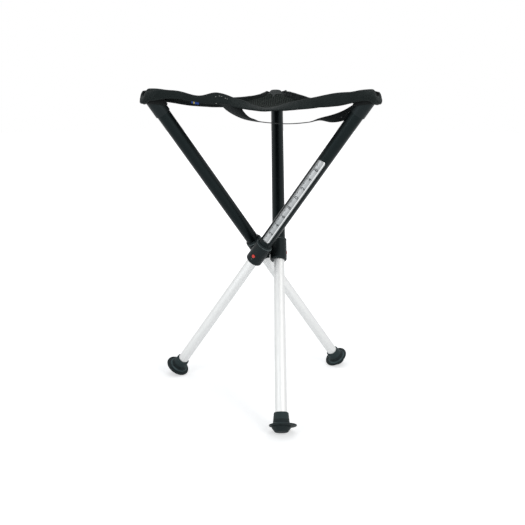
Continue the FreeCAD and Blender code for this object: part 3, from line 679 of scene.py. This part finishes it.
def on_hem(letter, way, up, out):
    """A spot on the hem: up is a share of its width, and out is metres from its middle."""
    low, upward, outward, width = rim_station(letter, way)
    ahead = rim_station(letter, way + 0.002)[0] - rim_station(letter, way - 0.002)[0]
    face = ahead.normalized().cross(upward).normalized()
    near = 1.0 - smooth(abs(way - 0.5) / 0.115)
    belly = (0.0012 + 0.0012 * near) * (1.0 - (2.0 * up - 1.0) ** 2)
    curl = 0.0066 * near * max(0.0, (up - 0.45) / 0.55) ** 2
    spot = low + upward * (width * up) + face * (out + belly - curl)
    crease = noise.noise(spot * 55.0) * 0.0009 + noise.noise(spot * 130.0) * 0.0004
    return spot + face * crease


def cloth_layer(name, across, along, place, thick, finish, rounds=1):
    """A sheet of cloth: a grid whose every point is put in place, then given its thickness."""
    mesh = bmesh.new()
    mesh.loops.layers.uv.new("UVMap")
    bmesh.ops.create_grid(mesh, x_segments=across, y_segments=along, size=1.0, calc_uvs=True)
    for vertex in mesh.verts:
        vertex.co = place((vertex.co.x + 1.0) / 2.0, (vertex.co.y + 1.0) / 2.0)
    piece = new_piece(name, mesh, finish)
    wall = piece.modifiers.new("thickness", "SOLIDIFY")
    wall.thickness = thick
    wall.offset = 0.0
    wall.use_even_offset = True
    if rounds:
        soft = piece.modifiers.new("soft", "SUBSURF")
        soft.levels = rounds
        soft.render_levels = rounds
    return piece


def follow_leg(piece):
    """Bakes the piece's placement into its mesh."""
    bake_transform(piece)


# The weave of a plain cloth: threads over and under each other in both directions. Where the
# threads dip, the cloth is painted darker, as painted shade.
weave, weave_in, weave_out = group_with(
    "plain_weave",
    [("Vector", "NodeSocketVector", None), ("Across", "NodeSocketFloat", 20.0),
     ("Along", "NodeSocketFloat", 400.0)],
    [("Height", "NodeSocketFloat"), ("Dip Shade", "NodeSocketFloat")],
)
weave_split = weave.nodes.new("ShaderNodeSeparateXYZ")
weave.links.new(weave_in.outputs["Vector"], weave_split.inputs[0])
weave_warp = number(weave, "MULTIPLY", weave_split.outputs["X"], weave_in.outputs["Across"])
weave_weft = number(weave, "MULTIPLY", weave_split.outputs["Y"], weave_in.outputs["Along"])
weave_ridge = number(weave, "ABSOLUTE", number(weave, "SINE", number(weave, "MULTIPLY", weave_warp, math.pi)))
weave_rung = number(weave, "ABSOLUTE", number(weave, "SINE", number(weave, "MULTIPLY", weave_weft, math.pi)))
weave_cell = number(weave, "ADD", number(weave, "FLOOR", weave_warp), number(weave, "FLOOR", weave_weft))
weave_over = number(weave, "PINGPONG", weave_cell, 1.0)
weave_pick = weave.nodes.new("ShaderNodeMix")
weave.links.new(weave_over, weave_pick.inputs["Factor"])
weave.links.new(weave_ridge, weave_pick.inputs[2])
weave.links.new(weave_rung, weave_pick.inputs[3])
weave_high = number(weave, "MULTIPLY", number(weave, "SQRT", weave_ridge), number(weave, "SQRT", weave_rung))
weave_height = number(weave, "ADD", number(weave, "MULTIPLY", weave_pick.outputs[0], 0.5),
                      number(weave, "MULTIPLY", weave_high, 0.5))
weave.links.new(weave_height, weave_out.inputs["Height"])
weave.links.new(stretch(weave, weave_high, 0.15, 0.6, 1.0, 0.0), weave_out.inputs["Dip Shade"])


def woven(name, across, along, base, light, rough=0.82, bump=0.00025):
    """A cloth woven of that many threads across and along the piece's own UV map."""
    made = bpy.data.materials.new(name)
    made.use_nodes = True
    tree = made.node_tree
    shader = tree.nodes["Principled BSDF"]
    shader.inputs["Roughness"].default_value = rough
    shader.inputs["Specular IOR Level"].default_value = 0.18
    shader.inputs["Sheen Weight"].default_value = 0.05
    shader.inputs["Sheen Roughness"].default_value = 0.5
    own = tree.nodes.new("ShaderNodeUVMap")
    threads = tree.nodes.new("ShaderNodeGroup")
    threads.node_tree = weave
    threads.inputs["Across"].default_value = across
    threads.inputs["Along"].default_value = along
    tree.links.new(own.outputs["UV"], threads.inputs["Vector"])
    cloud = noise_node(tree, plain_pattern(tree), 60.0, 4.0, 0.6)
    faded = blended(tree, stretch(tree, cloud.outputs["Fac"], 0.35, 0.7, 0.0, 1.0), base, light)
    # The dips between threads are painted darker, as painted shade.
    dark = tuple(c * 0.45 for c in base[:3]) + (1.0,)
    tree.links.new(blended(tree, threads.outputs["Dip Shade"], faded, dark), shader.inputs["Base Color"])
    tree.links.new(raised(tree, threads.outputs["Height"], 0.8, bump), shader.inputs["Normal"])
    return made


hem_nylon = woven("hem_nylon", 22.0, 520.0, (0.0090, 0.0142, 0.0140, 1.0), (0.0155, 0.0220, 0.0215, 1.0))
for letter in leg_turns:
    hem = cloth_layer(f"seat_hem_corner_{letter}", 7, 150,
                      lambda up, way: on_hem(letter, way * 1.005 - 0.0025, up, 0.0), hem_cloth, hem_nylon)
    follow_leg(hem)
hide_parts("seat_hem_front", "seat_hem_right")
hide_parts("seat_hem_front", "seat_hem_left")
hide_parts("seat_hem_right", "seat_hem_left")


# Seat panel. A ribbed, slightly hollow mesh hangs between the hems, with a plain cloth patch
# sewn on it over each leg's top. The gaps between its ribs are painted near black, as painted shade.
seat_middle = Vector((0.0, 0.0, 0.522))


def bowl(spot):
    """Height of the hollow seat at a place."""
    return seat_middle.z + 0.020 * (spot.x ** 2 + spot.y ** 2) / 0.203 ** 2


def panel_edge(letter, way):
    """Where the mesh is sewn to the hem."""
    low, upward, outward, width = rim_station(letter, way)
    high = low + upward * width
    rise = min(0.92, max(0.25, (bowl(low) - low.z) / max(0.001, high.z - low.z)))
    near = 1.0 - smooth(abs(way - 0.5) / 0.17)
    rise += (0.74 - rise) * near
    return low + upward * (width * rise) - outward * (0.0058 * (1.0 - smooth(abs(way - 0.5) / 0.115)))


def panel_spot(letter, first, second):
    """A spot of one corner's kite: 0, 0 is the seat's middle and 1, 1 the corner."""
    def edge(way):
        spot = panel_edge(letter, way)
        return Vector((spot.x, spot.y, spot.z - bowl(spot)))

    def spoke(way, share):
        end = edge(way)
        return Vector((end.x * share, end.y * share, end.z * share * share))

    to_side, to_next = spoke(0.0, first), spoke(1.0, second)
    far_in, far_out = edge(0.5 * second), edge(1.0 - 0.5 * first)
    side, following, corner = edge(0.0), edge(1.0), edge(0.5)
    spot = to_side * (1.0 - second) + far_out * second + to_next * (1.0 - first) + far_in * first
    spot -= side * first * (1.0 - second) + following * second * (1.0 - first) + corner * first * second
    spot.z += bowl(spot)
    return spot


mesh_nylon = bpy.data.materials.new("ribbed_mesh")
mesh_nylon.use_nodes = True
tree = mesh_nylon.node_tree
shader = tree.nodes["Principled BSDF"]
shader.inputs["Roughness"].default_value = 0.9
shader.inputs["Specular IOR Level"].default_value = 0.04
seat_split = tree.nodes.new("ShaderNodeSeparateXYZ")
tree.links.new(plain_pattern(tree), seat_split.inputs[0])
ribs = number(tree, "SINE", number(tree, "MULTIPLY", seat_split.outputs["X"], 2.0 * math.pi / 0.0034))
rungs = number(tree, "SINE", number(tree, "MULTIPLY", seat_split.outputs["Y"], 2.0 * math.pi / 0.0019))
rib_mask = stretch(tree, ribs, -0.35, 0.45, 0.0, 1.0)
rung_mask = stretch(tree, rungs, -0.8, 0.6, 0.75, 1.0)
fabric = number(tree, "MULTIPLY", rib_mask, rung_mask)
seat_cloud = noise_node(tree, plain_pattern(tree), 30.0, 4.0, 0.6)
yarn = blended(tree, stretch(tree, seat_cloud.outputs["Fac"], 0.3, 0.7, 0.0, 1.0),
               (0.0165, 0.0235, 0.0208, 1.0), (0.0265, 0.0340, 0.0302, 1.0))
# The gaps between ribs and rungs are painted near black, as painted shade.
gap_shade = tree.nodes.new("ShaderNodeMix")
gap_shade.data_type = "RGBA"
gap_shade.inputs[6].default_value = (0.0020, 0.0027, 0.0027, 1.0)
tree.links.new(fabric, gap_shade.inputs["Factor"])
tree.links.new(yarn, gap_shade.inputs[7])
tree.links.new(gap_shade.outputs[2], shader.inputs["Base Color"])
tree.links.new(raised(tree, fabric, 0.9, 0.0004), shader.inputs["Normal"])

for letter in leg_turns:
    panel = cloth_layer(f"seat_mesh_corner_{letter}", 40, 40,
                        lambda first, second: panel_spot(letter, first, second), 0.0014, mesh_nylon, 0)
    follow_leg(panel)
    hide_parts("seat_panel")
    patch = cloth_layer(f"seat_patch_{letter}", 16, 16,
                        lambda first, second: panel_spot(letter, 0.70 + 0.295 * first, 0.70 + 0.295 * second)
                        + Vector((0.0, 0.0, 0.0011)), 0.0010, hem_nylon, 1)
    follow_leg(patch)


# Pockets. Under each corner a stiff cloth cup slips over the leg's cap. Its mouth is higher on
# the outer side than towards the seat.
pocket_cloth = woven("pocket_cloth", 60.0, 40.0, (0.0085, 0.0115, 0.0120, 1.0), (0.0135, 0.0175, 0.0180, 1.0))
for letter in leg_turns:
    mesh = bmesh.new()
    outline = [(0.0, 0.3412), (0.006, 0.3410), (0.0105, 0.3400), (0.0132, 0.3380), (0.0147, 0.3350),
               (0.0151, 0.3310), (0.0152, 0.3240), (0.0153, 0.3185), (0.0157, 0.3160), (0.0155, 0.3140)]
    points = [mesh.verts.new((radius, 0.0, height)) for radius, height in outline]
    lines = [mesh.edges.new(pair) for pair in zip(points, points[1:])]
    bmesh.ops.spin(mesh, geom=points + lines, cent=(0.0, 0.0, 0.0), axis=(0.0, 0.0, 1.0),
                   angle=math.tau, steps=48, use_merge=True)
    bmesh.ops.remove_doubles(mesh, verts=mesh.verts, dist=0.00002)
    bmesh.ops.recalc_face_normals(mesh, faces=mesh.faces)
    # The mouth is cut slanting: the lean of the leg puts +y of its frame on the outer side.
    bmesh.ops.bisect_plane(mesh, geom=mesh.verts[:] + mesh.edges[:] + mesh.faces[:], dist=0.000001,
                           plane_co=(0.0, 0.0, 0.3225), plane_no=(0.0, 0.85, -1.0), clear_outer=True)
    for vertex in mesh.verts:
        crease = noise.noise(vertex.co * 90.0) * 0.0005
        vertex.co.x += vertex.co.x * crease / 0.015
        vertex.co.y += vertex.co.y * crease / 0.015
    bmesh.ops.transform(mesh, matrix=leg_place(letter), verts=mesh.verts)
    pocket = new_piece(f"pocket_{letter}", mesh, pocket_cloth)
    wall = pocket.modifiers.new("thickness", "SOLIDIFY")
    wall.thickness = 0.0014
    wall.offset = -1.0
    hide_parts(f"seat_pocket_{letter}")
    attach(pocket, f"leg_{letter}")


# Corner tape. A narrow turned edge, where the pocket is sewn to the hem.
for letter in leg_turns:
    tape = cloth_layer(f"corner_tape_{letter}", 3, 60,
                       lambda up, way: on_hem(letter, 0.435 + 0.13 * way, 0.30 + 0.26 * up, 0.0017),
                       0.0012, hem_nylon, 1)
    follow_leg(tape)


# Stitching. Two rows of black thread run along the hem, and the front one has a few pale
# stitches where the strap is sewn on.
thread = grained("black_thread", plain_pattern, (0.012, 0.015, 0.016, 1.0), (0.022, 0.027, 0.028, 1.0),
                 2500.0, 0.3, (0.55, 0.7), 0.00004, 0.0, 0.25)
pale_thread = grained("pale_thread", plain_pattern, (0.30, 0.31, 0.28, 1.0), (0.42, 0.43, 0.40, 1.0),
                      2500.0, 0.2, (0.55, 0.7), 0.00004, 0.0, 0.3)


def add_stitch(mesh, spot, ahead, face, length, thick):
    """One stitch: a small grain of thread lying along the seam."""
    side = ahead.cross(face).normalized()
    turn = Matrix((ahead.normalized(), side, face)).transposed().to_4x4()
    grain_size = Matrix.Diagonal((length / 2.0, thick / 2.0, thick / 2.0, 1.0))
    bmesh.ops.create_uvsphere(mesh, u_segments=6, v_segments=4, radius=1.0,
                              matrix=Matrix.Translation(spot) @ turn @ grain_size)


def hem_face(letter, way, up):
    """Directions along the hem and out of it."""
    ahead = on_hem(letter, min(1.0, way + 0.003), up, 0.0) - on_hem(letter, max(0.0, way - 0.003), up, 0.0)
    upward = on_hem(letter, way, min(1.0, up + 0.1), 0.0) - on_hem(letter, way, max(0.0, up - 0.1), 0.0)
    face = ahead.normalized().cross(upward.normalized()).normalized()
    return ahead.normalized(), face


for letter in leg_turns:
    mesh = bmesh.new()
    rows = [(0.13, 84), (0.86, 84)]
    for up, count in rows:
        for step in range(count):
            way = (step + 0.5) / count
            if 0.42 < way < 0.58:
                continue
            ahead, face = hem_face(letter, way, up)
            add_stitch(mesh, on_hem(letter, way, up, 0.0) + face * (hem_cloth / 2 + 0.00005),
                       ahead, face, 0.0026, 0.0006)
    stitches = new_piece(f"hem_stitches_{letter}", mesh, thread)
    follow_leg(stitches)

bar_tack = bmesh.new()
for share, up in ((0.300, 0.62), (0.316, 0.70), (0.326, 0.70), (0.342, 0.62), (0.350, 0.60), (0.303, 0.10)):
    way = 0.54 + 0.92 * share
    ahead, face = hem_face("b", way, up)
    spot = on_hem("b", way, up, 0.0) + face * (hem_cloth / 2 + 0.0002)
    add_stitch(bar_tack, spot, ahead, face, 0.0022, 0.0012)
tack = new_piece("strap_tack_b", bar_tack, pale_thread)
follow_leg(tack)


# Carrying strap. Woven webbing, sewn on at both ends. It hangs down from the hem, turns a quarter
# and lies flat in the middle. It is in two parts that overlap a little, one for each leg.
# Each row is a share of its length, then one edge and the other, in millimetres.
strap_rows = [
    (0.00, -75.6, -88.0, 529.4, -40.4, -85.0, 524.7),
    (0.07, -64.4, -92.0, 518.5, -36.5, -83.0, 516.7),
    (0.14, -48.2, -98.0, 509.3, -27.7, -79.0, 507.1),
    (0.21, -32.2, -104.0, 503.8, -18.0, -76.0, 502.8),
    (0.30, -8.3, -108.0, 500.2, -8.2, -74.0, 499.1),
    (0.48, 31.4, -109.0, 497.4, 32.7, -75.0, 496.0),
    (0.66, 67.9, -108.0, 499.9, 70.3, -75.0, 498.6),
    (0.76, 85.7, -103.0, 502.8, 87.8, -79.0, 505.1),
    (0.85, 106.0, -93.0, 498.8, 108.3, -84.0, 511.2),
    (0.93, 124.5, -86.0, 500.9, 125.9, -84.0, 518.3),
    (1.00, 139.2, -84.0, 507.2, 142.1, -82.0, 527.7),
]
strap_thick = 0.0014
strap_cut = 0.288
strap_lap = 0.0035


def on_strap(across, share):
    near, far = (Vector([between(strap_rows, share, column) for column in columns]) / 1000.0
                 for columns in ((1, 2, 3), (4, 5, 6)))
    return near.lerp(far, across)


webbing = bpy.data.materials.new("webbing")
webbing.use_nodes = True
tree = webbing.node_tree
shader = tree.nodes["Principled BSDF"]
shader.inputs["Roughness"].default_value = 0.75
shader.inputs["Specular IOR Level"].default_value = 0.2
shader.inputs["Sheen Weight"].default_value = 0.05
shader.inputs["Sheen Roughness"].default_value = 0.5
strap_split = tree.nodes.new("ShaderNodeSeparateXYZ")
tree.links.new(tree.nodes.new("ShaderNodeUVMap").outputs["UV"], strap_split.inputs[0])
strap_chevron = number(tree, "PINGPONG", number(tree, "MULTIPLY", strap_split.outputs["X"], 8.0), 1.0)
strap_row = number(tree, "ADD", number(tree, "MULTIPLY", strap_split.outputs["Y"], 60.0), strap_chevron)
strap_rib = number(tree, "ABSOLUTE", number(tree, "SINE", number(tree, "MULTIPLY", strap_row, math.pi)))
# The valleys between the ribs are painted darker than the crests, as painted shade.
tree.links.new(blended(tree, strap_rib, (0.0040, 0.0055, 0.0058, 1.0), (0.0145, 0.0190, 0.0195, 1.0)),
               shader.inputs["Base Color"])
tree.links.new(raised(tree, strap_rib, 0.9, 0.0003), shader.inputs["Normal"])

for letter, start, end in (("b", 0.0, strap_cut + strap_lap), ("a", strap_cut - strap_lap, 1.0)):
    strap = cloth_layer(f"carrying_strap_{letter}", 10, int(120 * (end - start)),
                        lambda across, along: on_strap(across, start + (end - start) * along),
                        strap_thick, webbing, 1)
    follow_leg(strap)
    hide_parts("carrying_strap")
strap_dots = bmesh.new()
for across, share in ((0.55, 0.965), (0.40, 0.915)):
    spot = on_strap(across, share)
    ahead = (on_strap(across, share + 0.01) - on_strap(across, share - 0.01)).normalized()
    face = ahead.cross(on_strap(1.0, share) - on_strap(0.0, share)).normalized()
    if face.y > 0.0:
        face.negate()
    add_stitch(strap_dots, spot + face * (strap_thick / 2 + 0.0002), ahead, face, 0.0022, 0.0012)
dots = new_piece("strap_tack_a", strap_dots, pale_thread)
follow_leg(dots)


# Sewn tag. A small blue ribbon with a yellow stripe, caught in the hem's lower seam.
tag_cloth = bpy.data.materials.new("tag_cloth")
tag_cloth.use_nodes = True
tree = tag_cloth.node_tree
shader = tree.nodes["Principled BSDF"]
shader.inputs["Roughness"].default_value = 0.7
shader.inputs["Specular IOR Level"].default_value = 0.3
tag_split = tree.nodes.new("ShaderNodeSeparateXYZ")
tree.links.new(tree.nodes.new("ShaderNodeUVMap").outputs["UV"], tag_split.inputs[0])
tag_stripe = number(tree, "MULTIPLY", number(tree, "GREATER_THAN", tag_split.outputs["Y"], 0.28),
                    number(tree, "LESS_THAN", tag_split.outputs["Y"], 0.44))
tag_wave = number(tree, "SINE", number(tree, "MULTIPLY", tag_split.outputs["X"], 60.0))
tag_thread = number(tree, "ABSOLUTE", tag_wave)
# Between the threads the blue is painted darker, as painted shade.
tag_blue = blended(tree, tag_thread, (0.012, 0.040, 0.20, 1.0), (0.022, 0.065, 0.30, 1.0))
tag_mix = tree.nodes.new("ShaderNodeMix")
tag_mix.data_type = "RGBA"
tag_mix.inputs[7].default_value = (0.55, 0.45, 0.04, 1.0)
tree.links.new(tag_stripe, tag_mix.inputs["Factor"])
tree.links.new(tag_blue, tag_mix.inputs[6])
tree.links.new(tag_mix.outputs[2], shader.inputs["Base Color"])
tree.links.new(raised(tree, tag_thread, 0.8, 0.0001), shader.inputs["Normal"])


def on_tag(down, along):
    """The tag hangs 2.5 mm below the hem's lower edge and is caught between its layers."""
    way = 0.54 + 0.92 * (0.188 + 0.036 * along)
    low, upward, outward, width = rim_station("b", way)
    return low + outward * 0.0022 - upward * (0.0034 * down - 0.0012)


tag = cloth_layer("sewn_tag_strip", 4, 12, on_tag, 0.0006, tag_cloth, 1)
follow_leg(tag)
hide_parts("sewn_tag")


# Collar seals. A stepped rubber ring closes the gap between each tube and its collar, and a
# small moulding pip stands under the button.
grey_pip = grained("grey_pip", plain_pattern, (0.085, 0.110, 0.095, 1.0), (0.120, 0.150, 0.130, 1.0),
                   900.0, 0.2, (0.4, 0.5), 0.00002)
for letter in leg_turns:
    mesh = bmesh.new()
    outline = [(0.01182, 0.0222), (0.01215, 0.0225), (0.01290, 0.0224), (0.01325, 0.0220), (0.01330, 0.0209),
               (0.01400, 0.0207), (0.01425, 0.0204), (0.01425, 0.0199), (0.01182, 0.0199)]
    points = [mesh.verts.new((radius, 0.0, height)) for radius, height in outline]
    lines = [mesh.edges.new(pair) for pair in zip(points, points[1:] + points[:1])]
    bmesh.ops.spin(mesh, geom=points + lines, cent=(0.0, 0.0, 0.0), axis=(0.0, 0.0, 1.0),
                   angle=math.tau, steps=56, use_merge=True)
    bmesh.ops.remove_doubles(mesh, verts=mesh.verts, dist=0.00002)
    bmesh.ops.recalc_face_normals(mesh, faces=mesh.faces)
    bmesh.ops.transform(mesh, matrix=leg_place(letter), verts=mesh.verts)
    seal = new_piece(f"collar_seal_{letter}", mesh, black_rubber)
    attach(seal, f"leg_{letter}")

    low, high = (leg_place(letter).inverted() @ Vector(corner)
                 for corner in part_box(f"release_button_{letter}"))
    middle = (low + high) / 2.0
    mesh = bmesh.new()
    bmesh.ops.create_uvsphere(mesh, u_segments=16, v_segments=8, radius=0.0009)
    bmesh.ops.scale(mesh, vec=(0.45, 1.0, 1.0), verts=mesh.verts)
    bmesh.ops.translate(mesh, vec=(0.0140, middle.y, middle.z - 0.0066), verts=mesh.verts)
    bmesh.ops.transform(mesh, matrix=leg_place(letter), verts=mesh.verts)
    pip = new_piece(f"collar_pip_{letter}", mesh, grey_pip)
    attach(pip, f"leg_{letter}")
